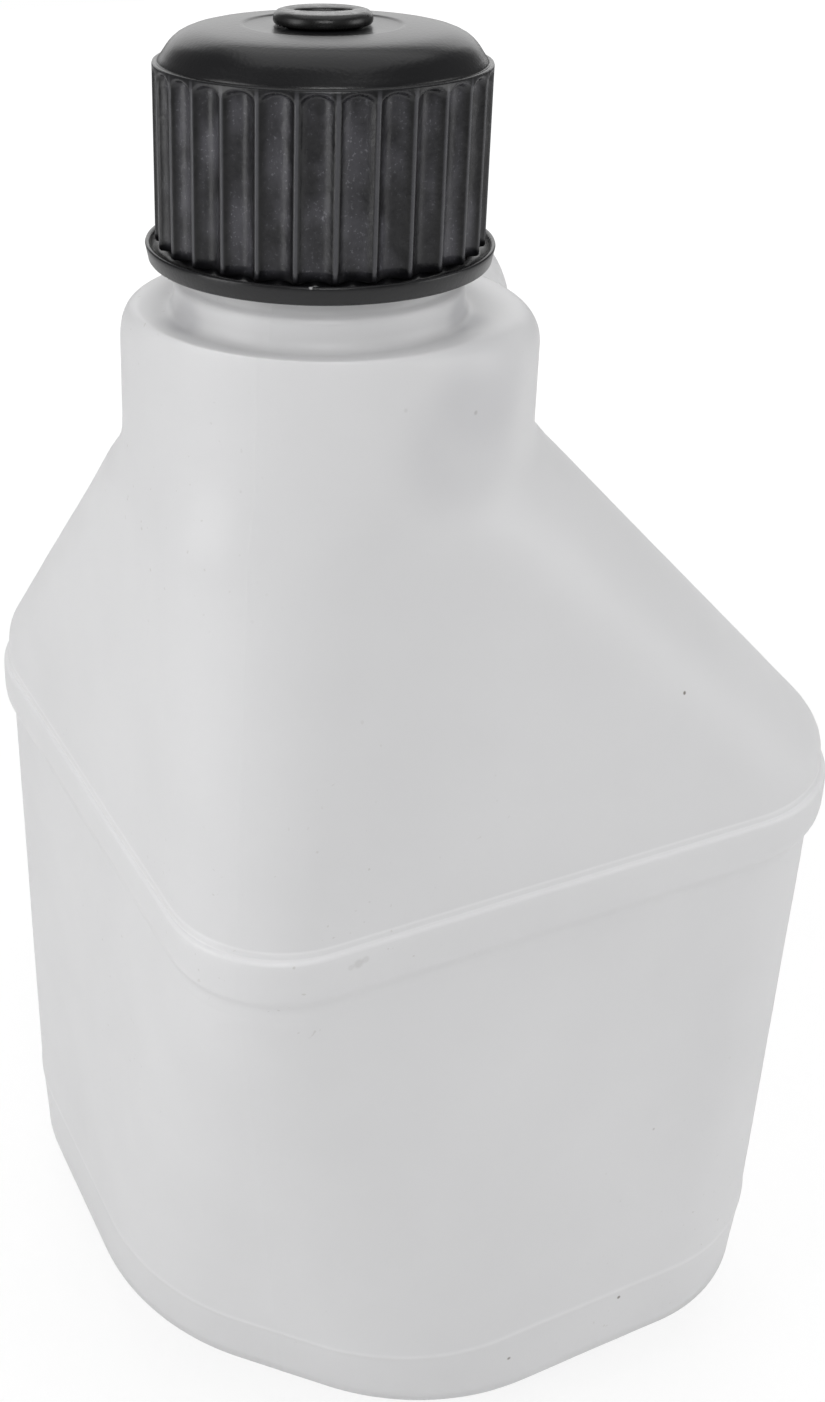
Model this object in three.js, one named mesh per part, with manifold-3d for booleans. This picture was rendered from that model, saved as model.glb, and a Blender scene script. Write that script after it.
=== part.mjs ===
// Square utility jug, blow-moulded in one piece, with a fluted screw cap.
// Millimetres, +Z up. The jug stands on Z = 0 and its square plan is centred on the Z axis.
// The neck stands in the (-X, -Y) corner and the handle runs back from it along the diagonal.
import * as THREE from 'three';
import { mergeVertices } from 'three/addons/utils/BufferGeometryUtils.js';
import Module from 'manifold-3d';

// Jug body
const jugSide = 216;             // across the band, flat to flat
const bandTop = 206.4;           // height of the crease on top of the band
const bandHeight = 15.9;
const lowerInset = 2.5;          // lower wall, in from the band
const upperInset = 1.7;          // upper wall, in from the band
const baseBevelHeight = 19.7;
const baseBevelInset = 12.9;
const baseRimWidth = 12;         // flat rim that the jug stands on
const basePushUp = 5;            // how far the middle of the base is raised
const sideCornerRadius = 48;     // upright corners away from the neck, at the band
const sideCornerRadiusBase = 58;
const neckCornerRadius = 31;     // upright corner under the neck, at the band
const neckCornerRadiusBase = 80; // this corner opens out to a wide soft chamfer at the foot
const neckCornerFlatBase = 20;
const wall = 2.8;

// Roof, column and shoulder
const roofHipSoftening = 26;     // extra radius on the hip under the handle, for the fingers
const wallAboveBand = 6;         // short upright wall between the band and the roof
const roofHeight = 119;          // from there up to where the roof meets the column
const columnHeight = 27.6;
const columnRadius = 52.1;
const columnInset = 4.6;         // column, in from the band on both neck sides
const shoulderRound = 10;
const recessRadius = 40.4;       // ring of the shallow recess around the neck
const recessDepth = 2;

// Neck
const neckInset = 50.5;          // neck axis, in from the band on both neck sides
const neckRadius = 33.6;
const neckBoreRadius = 30;
const neckBeadOut = 1.6;         // bead round the foot of the neck, out from the neck
const neckBeadHeight = 7;

// Handle: a hollow grip moulded with the jug
const gripWidth = 30;
const gripDepth = 27;
const gripDrop = 10.5;           // grip centre line under the shoulder, where it leaves the column
const gripEndRise = 33.6;        // above the band, where it turns down into the back corner

// Cap
const capClearance = 11.9;       // from the shoulder up to the underside of the flange
const flangeRadius = 41.1;
const flangeFlare = 0.8;         // the flange widens by this much to its lip
const flangeHeight = 4.6;
const capRadius = 39.4;          // over the ridges between the flutes
const skirtHeight = 46.9;
const domeHeight = 10.3;
const domeRound = 16;            // how far in from the skirt the dome curves
const capInnerRadius = 36;
const seatRise = 1.2;            // gasket face inside the cap, above the foot of the dome
const capWall = 2.4;
const fluteCount = 28;
const fluteDepth = 1.6;
const capHoleRadius = 8;
const plugSeatRadius = 18;       // shallow round seat in the dome, under the plug's head
const plugSeatDepth = 1.1;

// Gasket and plug
const gasketThickness = 1.8;
const gap = 0.3;                 // clearance left between pieces that touch
const plugHeadRadius = 11.6;
const plugHeadHeight = 3.4;
const plugStemBelow = 3;         // stem showing below the cap's inner face
const plugSlotLength = 14;
const plugSlotWidth = 3.4;
const plugSlotDepth = 1.8;

const half = jugSide / 2;
const diagonal = Math.SQRT1_2;
const neckAt = -half + neckInset;
const columnAt = -half + columnInset + columnRadius;
const bandFoot = bandTop - bandHeight;
const roofFoot = bandTop + wallAboveBand;
const columnBase = roofFoot + roofHeight;
const shoulderTop = columnBase + columnHeight;
const capFloor = shoulderTop + capClearance;
const capDomeBase = capFloor + skirtHeight;
const capTop = capDomeBase + domeHeight;
const capSeat = capDomeBase + seatRise;
const mouthHeight = capSeat - gasketThickness - 2 * gap;
const plugSeat = capTop - plugSeatDepth;

const wasm = await Module();
wasm.setup();

function solidOf(geometry) {
  const bare = geometry.index ? geometry.clone() : geometry;
  bare.deleteAttribute('normal');
  bare.deleteAttribute('uv');
  const merged = mergeVertices(bare, 1e-4);
  const mesh = new wasm.Mesh({
    numProp: 3,
    vertProperties: new Float32Array(merged.attributes.position.array),
    triVerts: new Uint32Array(merged.index.array),
  });
  return new wasm.Manifold(mesh);
}

function geometryOf(solid) {
  const mesh = solid.getMesh();
  const geometry = new THREE.BufferGeometry();
  geometry.setAttribute('position', new THREE.BufferAttribute(mesh.vertProperties, 3));
  geometry.setIndex(new THREE.BufferAttribute(mesh.triVerts, 1));
  geometry.computeVertexNormals();
  return geometry;
}

// Skins a stack of rings, each with the same number of points, and closes both ends.
// With loop set, the last ring joins the first instead, for a piece with a hole through it.
function loft(rings, loop = false) {
  const count = rings[0].length;
  const positions = rings.flat(2);
  const index = [];
  const bands = loop ? rings.length : rings.length - 1;
  for (let k = 0; k < bands; k += 1) {
    const low = k * count;
    const high = ((k + 1) % rings.length) * count;
    for (let i = 0; i < count; i += 1) {
      const j = (i + 1) % count;
      index.push(low + i, low + j, high + j);
      index.push(low + i, high + j, high + i);
    }
  }
  if (!loop) {
    const first = middleOf(rings[0]);
    const last = middleOf(rings[rings.length - 1]);
    positions.push(...first, ...last);
    const firstIndex = rings.length * count;
    const top = (rings.length - 1) * count;
    for (let i = 0; i < count; i += 1) {
      const j = (i + 1) % count;
      index.push(firstIndex, j, i);
      index.push(firstIndex + 1, top + i, top + j);
    }
  }
  const geometry = new THREE.BufferGeometry();
  geometry.setAttribute('position', new THREE.Float32BufferAttribute(positions, 3));
  geometry.setIndex(index);
  geometry.computeVertexNormals();
  return geometry;
}

function middleOf(ring) {
  const sum = [0, 0, 0];
  ring.forEach((point) => point.forEach((value, axis) => { sum[axis] += value / ring.length; }));
  return sum;
}

// One level of the jug: a square with rounded corners, its neck corner at (-half + inset).
// Arcs are sampled at half steps, so a square whose corners meet becomes an even circle.
const cornerPoints = 12;
function squareRing({ z, inset, side, neckR, sideR, backR = sideR, flat = 0 }) {
  const low = -half + inset;
  const high = low + side;
  const corners = [
    { x: low + neckR, y: low + neckR, r: neckR, from: 180, spread: flat },
    { x: high - sideR, y: low + sideR, r: sideR, from: 270, spread: 0 },
    { x: high - backR, y: high - backR, r: backR, from: 0, spread: 0 },
    { x: low + sideR, y: high - sideR, r: sideR, from: 90, spread: 0 },
  ];
  const ring = [];
  for (const corner of corners) {
    for (let i = 0; i < cornerPoints; i += 1) {
      const angle = THREE.MathUtils.degToRad(corner.from + (i + 0.5) * 90 / cornerPoints);
      const firstHalf = i < cornerPoints / 2;
      ring.push([
        corner.x + corner.r * Math.cos(angle) + (firstHalf ? 0 : corner.spread),
        corner.y + corner.r * Math.sin(angle) + (firstHalf ? corner.spread : 0),
        z,
      ]);
    }
  }
  return ring;
}

function circleRing(centre, radius, z) {
  const inset = centre - radius + half;
  return squareRing({ z, inset, side: radius * 2, neckR: radius, sideR: radius });
}

function mix(a, b, t) {
  return a + (b - a) * t;
}

// A straight ramp from 0 to 1 whose two ends are eased over the given shares of its length.
function easedRamp(t, easeIn, easeOut) {
  const slope = 1 / (1 - easeIn / 2 - easeOut / 2);
  if (t < easeIn) return slope * t * t / (2 * easeIn);
  if (t > 1 - easeOut) return 1 - slope * (1 - t) ** 2 / (2 * easeOut);
  return slope * (t - easeIn / 2);
}

// The wall of the jug from its foot up to the column; shrink draws it inwards for the cavity.
function wallLevels(shrink) {
  const levels = [];
  function level(z, inset, side, neckR, sideR, backR, flat) {
    levels.push({
      z,
      inset: inset + shrink,
      side: side - 2 * shrink,
      neckR: neckR - shrink,
      sideR: sideR - shrink,
      backR: backR - shrink,
      flat,
    });
  }
  function square(z, inset, share) {
    const neckR = mix(neckCornerRadiusBase, neckCornerRadius, share);
    const sideR = mix(sideCornerRadiusBase, sideCornerRadius, share);
    level(z, inset, jugSide - 2 * inset, neckR, sideR, sideR, mix(neckCornerFlatBase, 0, share));
  }
  const bevelSteps = 3;
  for (let i = 0; i <= bevelSteps; i += 1) {
    const t = i / bevelSteps;
    square(baseBevelHeight * t, lowerInset + baseBevelInset * (1 - easedRamp(t, 0, 0.4)), 0);
  }
  const wallSteps = 4;
  for (let i = 1; i <= wallSteps; i += 1) {
    const t = i / wallSteps;
    square(mix(baseBevelHeight, bandFoot, t), lowerInset, t);
  }
  square(bandFoot + bandHeight * 0.15, lowerInset * 0.2, 1);
  square(bandFoot + bandHeight * 0.3, 0, 1);
  square(bandFoot + bandHeight * 0.75, 0, 1);
  square(bandFoot + bandHeight * 0.92, upperInset * 0.3, 1);
  square(bandTop, upperInset, 1);
  const roofSteps = 12;
  for (let i = 0; i <= roofSteps; i += 1) {
    const t = i / roofSteps;
    const share = easedRamp(t, 0.07, 0.14);
    const inset = mix(upperInset, columnInset, share);
    const side = mix(jugSide - 2 * upperInset, 2 * columnRadius, share);
    const neckR = mix(neckCornerRadius, columnRadius, Math.min(1, share * 2));
    const sideR = mix(sideCornerRadius, columnRadius, share);
    const backR = sideR + roofHipSoftening * Math.sin(Math.PI * share);
    level(mix(roofFoot, columnBase, t), inset, side, neckR, sideR, backR, 0);
  }
  return levels;
}

function jugOuter() {
  const levels = wallLevels(0);
  const foot = levels[0];
  const rimInset = foot.inset + baseRimWidth;
  const raised = rimInset + basePushUp * 2;
  const rings = [
    { z: basePushUp, inset: raised },
    { z: 0, inset: rimInset },
  ].map(({ z, inset }) => {
    const grow = inset - foot.inset;
    return squareRing({
      z,
      inset,
      side: foot.side - 2 * grow,
      neckR: foot.neckR - grow,
      sideR: foot.sideR - grow,
      backR: foot.backR - grow,
      flat: foot.flat,
    });
  });
  rings.push(...levels.map(squareRing));
  const roundSteps = 4;
  const shoulderInner = recessRadius + 2;
  for (let i = 0; i <= roundSteps; i += 1) {
    const angle = Math.PI / 2 * i / roundSteps;
    const share = 1 - Math.cos(angle);
    rings.push(circleRing(
      mix(columnAt, neckAt, share),
      mix(columnRadius, shoulderInner, share),
      shoulderTop - shoulderRound * (1 - Math.sin(angle)),
    ));
  }
  rings.push(circleRing(neckAt, recessRadius, shoulderTop - recessDepth * 0.3));
  rings.push(circleRing(neckAt, recessRadius - 2, shoulderTop - recessDepth));
  rings.push(circleRing(neckAt, neckRadius + neckBeadOut, shoulderTop - recessDepth));
  rings.push(circleRing(neckAt, neckRadius + neckBeadOut, shoulderTop + neckBeadHeight - 0.8));
  rings.push(circleRing(neckAt, neckRadius, shoulderTop + neckBeadHeight));
  rings.push(circleRing(neckAt, neckRadius, mouthHeight - 1));
  rings.push(circleRing(neckAt, neckRadius - 1, mouthHeight));
  return solidOf(loft(rings));
}

function jugCavity() {
  const floor = basePushUp + wall;
  const levels = wallLevels(wall).filter((level) => level.z > floor);
  const foot = levels[0];
  const rings = [squareRing({ ...foot, z: floor, inset: foot.inset + 4, side: foot.side - 8 })];
  rings.push(...levels.map(squareRing));
  const underShoulder = shoulderTop - recessDepth - wall;
  rings.push(circleRing(columnAt, columnRadius - wall, underShoulder - 8));
  rings.push(circleRing(mix(columnAt, neckAt, 0.5), columnRadius - wall - 5, underShoulder - 2));
  rings.push(circleRing(neckAt, neckBoreRadius + 4, underShoulder));
  rings.push(circleRing(neckAt, neckBoreRadius, underShoulder + 4));
  rings.push(circleRing(neckAt, neckBoreRadius, mouthHeight + 1));
  return solidOf(loft(rings));
}

// The grip's centre line, given by distance along the diagonal from the neck corner and height.
function gripPath() {
  const columnBack = (columnInset + columnRadius) / diagonal + columnRadius;
  const backCorner = (jugSide - upperInset - sideCornerRadius) / diagonal + sideCornerRadius;
  const gripHeight = shoulderTop - gripDrop;
  const gripEndHeight = bandTop + gripEndRise;
  const points = [
    [columnBack - 26, gripHeight - 7],
    [columnBack, gripHeight - 2],
    [columnBack + 30, gripHeight],
    [columnBack + 56, gripHeight - 10],
    [mix(columnBack, backCorner, 0.6), mix(gripHeight, gripEndHeight, 0.27)],
    [mix(columnBack, backCorner, 0.78), mix(gripHeight, gripEndHeight, 0.62)],
    [backCorner - gripDepth / 2 - 3, gripEndHeight],
    [backCorner - gripDepth / 2 - 5, bandTop],
  ];
  return new THREE.CatmullRomCurve3(points.map(([s, z]) => new THREE.Vector3(
    -half + s * diagonal,
    -half + s * diagonal,
    z,
  )));
}

function grip(shrink, steps, curveSegments) {
  const shape = new THREE.Shape();
  shape.absellipse(0, 0, gripDepth / 2 - shrink, gripWidth / 2 - shrink, 0, Math.PI * 2);
  const extrudePath = gripPath();
  return solidOf(new THREE.ExtrudeGeometry(shape, { steps, curveSegments, extrudePath }));
}

function jugBody() {
  const outer = jugOuter().add(grip(0, 24, 14));
  const cavity = jugCavity().add(grip(wall, 16, 10));
  return geometryOf(outer.subtract(cavity));
}

// A ring of the cap: circles inside, flutes outside where depth is more than nothing.
const flutePoints = [0, 0.22, 0.5, 0.78];
function capRing(radius, z, depth = 0) {
  const ring = [];
  for (let i = 0; i < fluteCount; i += 1) {
    for (const share of flutePoints) {
      const angle = Math.PI * 2 * (i + share) / fluteCount;
      const r = radius - depth * Math.sin(Math.PI * share) ** 0.8;
      ring.push([r * Math.cos(angle), r * Math.sin(angle), z]);
    }
  }
  return ring;
}

function cap() {
  const lipTop = capFloor + flangeHeight;
  const domeFoot = capRadius - 0.8;
  const rings = [
    capRing(capInnerRadius, capFloor),
    capRing(flangeRadius - 0.8, capFloor),
    capRing(flangeRadius, capFloor + 0.8),
    capRing(flangeRadius + flangeFlare, lipTop),
    capRing(flangeRadius + flangeFlare - 0.9, lipTop),
    capRing(capRadius + 0.1, lipTop - 1.2),
    capRing(capRadius, lipTop + 0.2, fluteDepth),
    capRing(capRadius, capDomeBase - 3, fluteDepth),
    capRing(capRadius, capDomeBase - 0.8, fluteDepth * 0.3),
    capRing(domeFoot, capDomeBase),
  ];
  const domeSteps = 5;
  for (let i = 1; i <= domeSteps; i += 1) {
    const angle = Math.PI / 2 * i / domeSteps;
    const r = domeFoot - domeRound * (1 - Math.cos(angle));
    rings.push(capRing(r, capDomeBase + domeHeight * Math.sin(angle)));
  }
  rings.push(capRing(plugSeatRadius + 0.8, capTop));
  rings.push(capRing(plugSeatRadius, plugSeat));
  rings.push(capRing(capHoleRadius, plugSeat));
  rings.push(capRing(capHoleRadius, plugSeat - capWall));
  rings.push(capRing(capInnerRadius - 12, plugSeat - capWall));
  rings.push(capRing(capInnerRadius - 9, capSeat));
  rings.push(capRing(capInnerRadius, capSeat));
  return loft(rings, true);
}

function lathe(profile, segments) {
  const points = profile.map(([r, z]) => new THREE.Vector2(r, z));
  const geometry = new THREE.LatheGeometry(points, segments);
  geometry.rotateX(Math.PI / 2);
  geometry.deleteAttribute('normal');
  geometry.deleteAttribute('uv');
  return mergeVertices(geometry, 1e-4);
}

function gasket() {
  const bottom = mouthHeight + gap;
  const top = bottom + gasketThickness;
  const inner = neckBoreRadius - 2;
  const outer = capInnerRadius - gap;
  return lathe([[inner, bottom], [outer, bottom], [outer, top], [inner, top], [inner, bottom]], 48);
}

function ventPlug() {
  const seat = plugSeat + gap;
  const under = plugSeat - capWall;
  const stem = capHoleRadius - gap;
  const top = seat + plugHeadHeight;
  const body = solidOf(lathe([
    [0, under - plugStemBelow],
    [stem - 1, under - plugStemBelow],
    [stem, under - plugStemBelow + 1],
    [stem, seat],
    [plugHeadRadius - 1.6, seat],
    [plugHeadRadius - 0.4, seat + 0.8],
    [plugHeadRadius, seat + plugHeadHeight * 0.5],
    [plugHeadRadius - 0.5, top - 0.5],
    [plugHeadRadius - 1.4, top],
    [0, top],
  ], 40));
  const eye = new THREE.Shape();
  eye.moveTo(-plugSlotLength / 2, 0);
  eye.quadraticCurveTo(0, -plugSlotWidth, plugSlotLength / 2, 0);
  eye.quadraticCurveTo(0, plugSlotWidth, -plugSlotLength / 2, 0);
  const cutter = new THREE.ExtrudeGeometry(eye, { depth: plugSlotDepth + 1, bevelEnabled: false });
  cutter.translate(0, 0, top - plugSlotDepth);
  return geometryOf(body.subtract(solidOf(cutter)));
}

function piece(name, geometry, color, roughness) {
  const material = new THREE.MeshStandardMaterial({ color, roughness, metalness: 0 });
  const mesh = new THREE.Mesh(geometry, material);
  mesh.name = name;
  return mesh;
}

const jug = new THREE.Group();
jug.add(piece('jug_body', jugBody(), 0xe9eaec, 0.45));

const closure = new THREE.Group();
closure.position.set(neckAt, neckAt, 0);
closure.add(piece('cap', cap(), 0x1d1d1f, 0.5));
closure.add(piece('cap_gasket', gasket(), 0x2b2b2d, 0.8));
closure.add(piece('vent_plug', ventPlug(), 0x151516, 0.6));
jug.add(closure);

export default jug;
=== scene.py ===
import math

import bmesh
import bpy
import numpy as np
from mathutils import Euler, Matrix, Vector, noise

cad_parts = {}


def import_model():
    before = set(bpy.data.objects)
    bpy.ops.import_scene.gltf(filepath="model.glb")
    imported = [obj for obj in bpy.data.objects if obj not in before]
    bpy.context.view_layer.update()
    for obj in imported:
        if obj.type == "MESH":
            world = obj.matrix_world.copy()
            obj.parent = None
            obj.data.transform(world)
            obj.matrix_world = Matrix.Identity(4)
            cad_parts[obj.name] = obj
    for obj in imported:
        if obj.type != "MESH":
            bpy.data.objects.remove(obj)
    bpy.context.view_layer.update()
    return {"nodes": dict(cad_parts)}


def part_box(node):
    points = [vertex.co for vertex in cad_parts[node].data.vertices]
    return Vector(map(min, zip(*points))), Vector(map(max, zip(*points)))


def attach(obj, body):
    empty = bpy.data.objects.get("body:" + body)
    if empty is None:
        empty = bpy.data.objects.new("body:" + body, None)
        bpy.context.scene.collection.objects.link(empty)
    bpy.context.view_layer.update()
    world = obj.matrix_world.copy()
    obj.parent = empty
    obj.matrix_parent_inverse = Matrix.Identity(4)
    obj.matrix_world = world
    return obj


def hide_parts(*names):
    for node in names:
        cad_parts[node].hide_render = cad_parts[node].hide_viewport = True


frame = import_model()

MM = 0.001

# Jug body
SIDE = 216.0
HALF = SIDE / 2
SKIN = 0.13
BAND_TOP = 206.4
BAND_HEIGHT = 15.9
BAND_FOOT = BAND_TOP - BAND_HEIGHT
LOWER_INSET = 2.5
UPPER_INSET = 1.7
BEVEL_HEIGHT = 19.3
BEVEL_INSET = 14.3
FOOT_HEIGHT = 41.5
FOOT_INSET = 0.9
CORNER_FOOT = 22.9
BASE_RIM = 12.0
BASE_PUSH_UP = 5.0
SIDE_RADIUS = 48.0
SIDE_RADIUS_BASE = 58.0
NECK_CORNER_RADIUS = 31.0
NECK_CORNER_RADIUS_BASE = 80.0
NECK_CORNER_FLAT_BASE = 20.0
WALL = 2.8
SEAM_HEIGHT = 0.05
SEAM_AT = (45, 225)
SEAM_CLEAR = 1.1
ROOF_FOOT = BAND_TOP + 4.2
ROOF_END = 339.6
ROOF_BACK = -6.0
HIP_RADIUS = 58.8
HIP_SOFTENING = 26.0
COLUMN_BASE = 331.4
COLUMN_RADIUS = 52.2
COLUMN_INSET = 4.35
COLUMN_AT = -HALF + COLUMN_INSET + COLUMN_RADIUS
SHOULDER_TOP = COLUMN_BASE + 27.6
SHOULDER_ROUND = 10.0
RECESS_RADIUS = 40.4
RECESS_DEPTH = 2.0
COLUMN_TOP_FADE = 360

# How finely the levels are sampled, and how softly the column joins the roof
ARC_STEPS = 48
FINE_STEPS = 24
JOIN_WIDTH = 2.5
BAND_BLEND = 5.6
COLUMN_FROM = 262

# Neck and its thread
NECK_AT = -HALF + 50.5
MOUTH = 416.6
NECK_RADIUS = 33.6
NECK_BORE = 30.0
COLLAR_RADIUS = 35.2
COLLAR_TOP = 366.0
THREAD_PITCH = 6.0
THREAD_HEIGHT = 1.5
THREAD_LOW = 380.0
THREAD_TURNS = 4.0

# Grip
GRIP_WIDTH = 30.0
GRIP_DEPTH = 27.0
GRIP_HEIGHT = SHOULDER_TOP - 10.5
GRIP_END = BAND_TOP + 33.6

# The column's back and the far corner, measured along the diagonal from the neck's corner
COLUMN_BACK = (COLUMN_INSET + COLUMN_RADIUS) * math.sqrt(2) + COLUMN_RADIUS
BACK_CORNER = (SIDE - UPPER_INSET - SIDE_RADIUS) * math.sqrt(2) + SIDE_RADIUS

# Cap
CAP_FLOOR = 370.9
FLANGE_RADIUS = 41.0
FLANGE_TOP_RADIUS = 41.85
LIP_TOP = CAP_FLOOR + 4.6
CAP_RADIUS = 39.4
DOME_BASE = 417.8
CAP_TOP = 425.8
PLUG_SEAT = CAP_TOP - 0.35
CAP_INNER = 36.0
CAP_SEAT = 419.0
CAP_WALL = 2.4
FLUTES = 28
FLUTE_DEPTH = 2.4
FLUTE_PHASE = 0.308
FLUTE_ARCH = 2.3
RIDGE_SHARE = 0.05
HOLE_RADIUS = 8.0

# Plug
PLUG_RADIUS = 11.5
PLUG_TOP = PLUG_SEAT + 3.45
PLUG_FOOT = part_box("vent_plug")[0].z / MM
SLOT_TURN = -24.6

# Specks of dirt on the jug: place, radius and strength
SPECKS = [
    ((28.6, -104.5, 253.9), 0.75, 0.9), ((28.3, -105.4, 38.6), 0.8, 0.85),
    ((-11.2, -105.3, 31.8), 0.9, 0.8), ((34.2, -105.4, 104.1), 0.6, 0.3),
    ((-69.7, -100.1, 319.7), 1.1, 0.12), ((-58.4, -102.8, 347.0), 0.8, 0.14),
    ((-39.5, -102.0, 343.1), 0.8, 0.3), ((-68.9, -107.9, 201.5), 1.8, 0.16),
    ((-66.9, -107.9, 202.1), 1.4, 0.12), ((-71.0, -107.9, 201.0), 1.2, 0.10),
]

# Painted highlights: pale lines where light catches the band's upper edge and the base's crease:
# foot, top and strengths
PAINTED_HIGHLIGHT_LINES = [
    (BAND_FOOT + 13, BAND_FOOT + 19,
     [(0.22, 0.0), (0.36, 0.4), (0.44, 0.4), (0.50, 0.1), (0.62, 0.1), (0.70, 0.35), (0.80, 0.0)]),
    (FOOT_HEIGHT - 1, FOOT_HEIGHT + 3, [(0.10, 0.0), (0.45, 0.25), (0.80, 0.0)]),
]

# Painted shade: soft dark spots in the recess round the neck and down the column, in the same form
PAINTED_SHADES = [
    ((-92.4, -58.5, 358.4), 10.0, 0.24), ((-33.6, -82.9, 358.4), 10.0, 0.24),
    ((-40.8, -102.6, 336.7), 24.0, 0.12), ((-35.0, -101.0, 349.0), 20.0, 0.10),
]

# Pale chips on the cap, in the same form
CHIPS = [
    ((-58.8, -94.9, 420.2), 0.55, 0.8), ((-55.4, -94.8, 420.2), 0.5, 0.7),
    ((-77.8, -93.6, 375.3), 0.6, 0.8), ((-76.0, -94.4, 375.0), 0.4, 0.6),
]

# Camera, found by fitting the jug's outline in the photograph, 825 by 1402 pixels
PHOTO_WIDTH = 825
PHOTO_HEIGHT = 1402
FOCAL_PIXELS = 1698.6
CENTRE_X = 250.9
CENTRE_Y = 448.9
CAMERA_AT = (-0.2373, -0.4111, 0.4831)
CAMERA_HEADING = 65.43
CAMERA_PITCH = 22.3


def mix(a, b, t):
    return a + (b - a) * t


def smooth(low, high, value):
    t = np.clip((value - low) / (high - low), 0, 1)
    return t * t * (3 - 2 * t)


def eased_ramp(t, ease_in, ease_out):
    slope = 1 / (1 - ease_in / 2 - ease_out / 2)
    if t < ease_in:
        return slope * t * t / (2 * ease_in)
    if t > 1 - ease_out:
        return 1 - slope * (1 - t) ** 2 / (2 * ease_out)
    return slope * (t - ease_in / 2)


def new_mesh(name, points, faces):
    mesh = bpy.data.meshes.new(name)
    mesh.from_pydata((np.asarray(points) * MM).tolist(), [], faces)
    mesh.validate()
    mesh.update()
    mesh.shade_smooth()
    piece = bpy.data.objects.new(name, mesh)
    bpy.context.scene.collection.objects.link(piece)
    return piece


def loft(name, rings, loop=False):
    """Skins a stack of rings and closes both ends, or joins the last ring to the first."""
    rings = np.asarray(rings)
    levels, count = rings.shape[:2]
    points = rings.reshape(-1, 3).tolist()
    faces = []
    for k in range(levels if loop else levels - 1):
        low = k * count
        high = ((k + 1) % levels) * count
        for i in range(count):
            j = (i + 1) % count
            faces.append((low + i, low + j, high + j, high + i))
    if not loop:
        points.append(rings[0].mean(0).tolist())
        points.append(rings[-1].mean(0).tolist())
        first = levels * count
        top = (levels - 1) * count
        for i in range(count):
            j = (i + 1) % count
            faces.append((first, j, i))
            faces.append((first + 1, top + i, top + j))
    return new_mesh(name, points, faces)


def rounded_square(level, angles):
    """One level of the jug, sampled at even angles about its own middle."""
    low = -HALF + level["inset"]
    high = low + level["side"]
    middle = low + level["side"] / 2
    neck_r, side_r, back_r = level["neck_r"], level["side_r"], level["back_r"]
    corners = [
        (low + neck_r, low + neck_r, neck_r, 180, level["flat"]),
        (high - side_r, low + side_r, side_r, 270, 0),
        (high - back_r, high - back_r, back_r, 0, 0),
        (low + side_r, high - side_r, side_r, 90, 0),
    ]
    outline = []
    for x, y, radius, start, spread in corners:
        for i in range(ARC_STEPS + 1):
            angle = math.radians(start + i * 90 / ARC_STEPS)
            first_half = i < ARC_STEPS / 2
            outline.append((
                x + radius * math.cos(angle) + (0 if first_half else spread),
                y + radius * math.sin(angle) + (spread if first_half else 0),
            ))
    outline.append(outline[0])
    outline = np.array(outline)
    fine = np.concatenate([
        np.linspace(a, b, FINE_STEPS, endpoint=False) for a, b in zip(outline[:-1], outline[1:])
    ]) - middle
    direction = np.mod(np.arctan2(fine[:, 1], fine[:, 0]), 2 * math.pi)
    order = np.argsort(direction, kind="stable")
    radius = np.interp(
        angles, direction[order], np.hypot(fine[:, 0], fine[:, 1])[order], period=2 * math.pi
    )
    if level["column"]:
        radius = join(radius, reach(middle, level["column"], angles), JOIN_WIDTH)
    ring = np.empty((len(angles), 3))
    ring[:, 0] = middle + radius * np.cos(angles)
    ring[:, 1] = middle + radius * np.sin(angles)
    ring[:, 2] = level["z"]
    return ring


def reach(middle, radius, angles):
    """Distance from a level's middle out to a circle round the column's axis."""
    off = middle - COLUMN_AT
    half_b = off * (np.cos(angles) + np.sin(angles))
    inside = half_b * half_b - 2 * off * off + radius * radius
    return np.where(inside > 0, -half_b + np.sqrt(np.maximum(inside, 0)), 0)


def join(a, b, width):
    """The larger of two distances, with the step between them eased over a width."""
    step = b - a
    eased = (a + b) / 2 + step * step / (4 * width) + width / 4
    return np.where(np.abs(step) < width, eased, np.maximum(a, b))


def circle(centre, radius, z, angles):
    ring = np.empty((len(angles), 3))
    ring[:, 0] = centre + radius * np.cos(angles)
    ring[:, 1] = centre + radius * np.sin(angles)
    ring[:, 2] = z
    return ring


# Height above the band's foot and inset, for the band and its two creases
BAND_PROFILE = [
    (-5.0, LOWER_INSET), (-3.2, LOWER_INSET + 0.05), (-1.8, LOWER_INSET),
    (-0.8, LOWER_INSET - 0.2), (0.2, LOWER_INSET - 0.65), (1.2, LOWER_INSET - 1.2),
    (2.3, LOWER_INSET - 1.7), (3.6, 0.4), (5.4, 0.2), (8.0, SKIN), (10.5, SKIN),
    (12.4, SKIN), (13.5, 0.15), (14.2, 0.22), (14.7, 0.36), (15.05, 0.56),
    (15.3, 0.82), (15.45, 1.06), (15.65, 1.2), (16.2, 1.26), (16.55, 1.34),
    (16.8, 1.47), (17.1, 1.6), (17.6, 1.68), (18.4, UPPER_INSET),
]

# Height above the foot's top and inset, for its crease
CREASE = [
    (-2.0, 0.2), (-1.0, 0.08), (-0.2, -0.08), (0.6, -0.2), (1.6, -0.22), (2.8, -0.1),
]


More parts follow.
